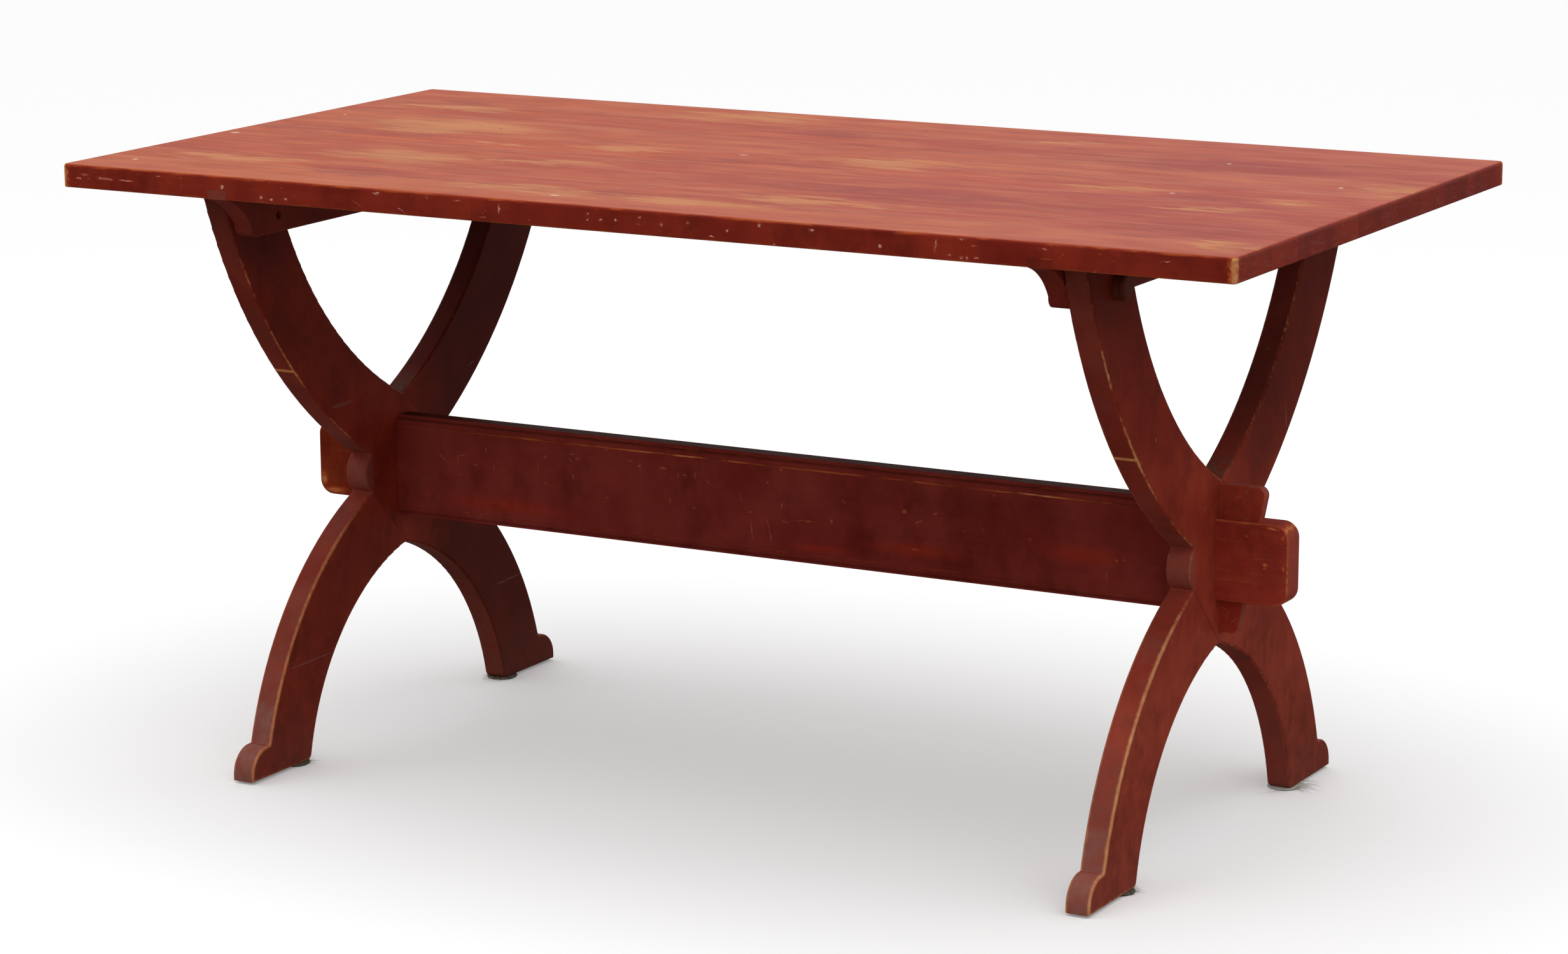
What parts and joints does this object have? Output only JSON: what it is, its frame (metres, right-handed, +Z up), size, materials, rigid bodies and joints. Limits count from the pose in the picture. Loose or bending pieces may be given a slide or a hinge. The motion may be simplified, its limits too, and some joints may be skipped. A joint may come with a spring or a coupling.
{
  "type": "sawbuck table",
  "caption": "Painted plank dining table on two crossed, curved-leg trestles, tied by a moulded stretcher whose through tenons are locked with tapered tusk keys.",
  "frame": {"origin": "on the floor under the middle of the top", "axes": "+X along the table, +Y across it towards the back, +Z up"},
  "size_m": [1.495, 0.785, 0.745],
  "materials": {
    "top_paint": "old red paint, worn, satin",
    "batten_paint": "old red paint, satin",
    "leg_paint": "old red paint, worn arrises",
    "stretcher_paint": "old red paint, worn arrises",
    "key_paint": "old red paint, scuffed",
    "peg_paint": "old red paint",
    "felt": "pressed wool felt"
  },
  "bodies": {
    "table": {"top_board_1": "top_paint", "top_board_2": "top_paint", "top_board_3": "top_paint", "top_board_4": "top_paint", "top_board_5": "top_paint", "top_board_6": "top_paint", "top_board_7": "top_paint", "left_batten": "batten_paint", "right_batten": "batten_paint", "left_leg_from_front_head": "leg_paint", "left_leg_from_back_head": "leg_paint", "right_leg_from_front_head": "leg_paint", "right_leg_from_back_head": "leg_paint", "stretcher": "stretcher_paint", "left_front_felt_pad": "felt", "left_back_felt_pad": "felt", "right_front_felt_pad": "felt", "right_back_felt_pad": "felt"},
    "left_key": {"left_tusk_key": "key_paint"},
    "right_key": {"right_tusk_key": "key_paint"},
    "left_front_peg_body": {"left_front_peg": "peg_paint"},
    "left_back_peg_body": {"left_back_peg": "peg_paint"},
    "right_front_peg_body": {"right_front_peg": "peg_paint"},
    "right_back_peg_body": {"right_back_peg": "peg_paint"}
  },
  "joints": [
    {"name": "left_key_pull", "type": "slide", "parent": "table", "child": "left_key", "axis": [0, 0, 1], "range_m": [0, 0.15]},
    {"name": "right_key_pull", "type": "slide", "parent": "table", "child": "right_key", "axis": [0, 0, 1], "range_m": [0, 0.15]},
    {"name": "left_front_peg_pull", "type": "slide", "parent": "table", "child": "left_front_peg_body", "axis": [-1, 0, 0], "range_m": [0, 0.06]},
    {"name": "left_back_peg_pull", "type": "slide", "parent": "table", "child": "left_back_peg_body", "axis": [-1, 0, 0], "range_m": [0, 0.06]},
    {"name": "right_front_peg_pull", "type": "slide", "parent": "table", "child": "right_front_peg_body", "axis": [1, 0, 0], "range_m": [0, 0.06]},
    {"name": "right_back_peg_pull", "type": "slide", "parent": "table", "child": "right_back_peg_body", "axis": [1, 0, 0], "range_m": [0, 0.06]}
  ]
}
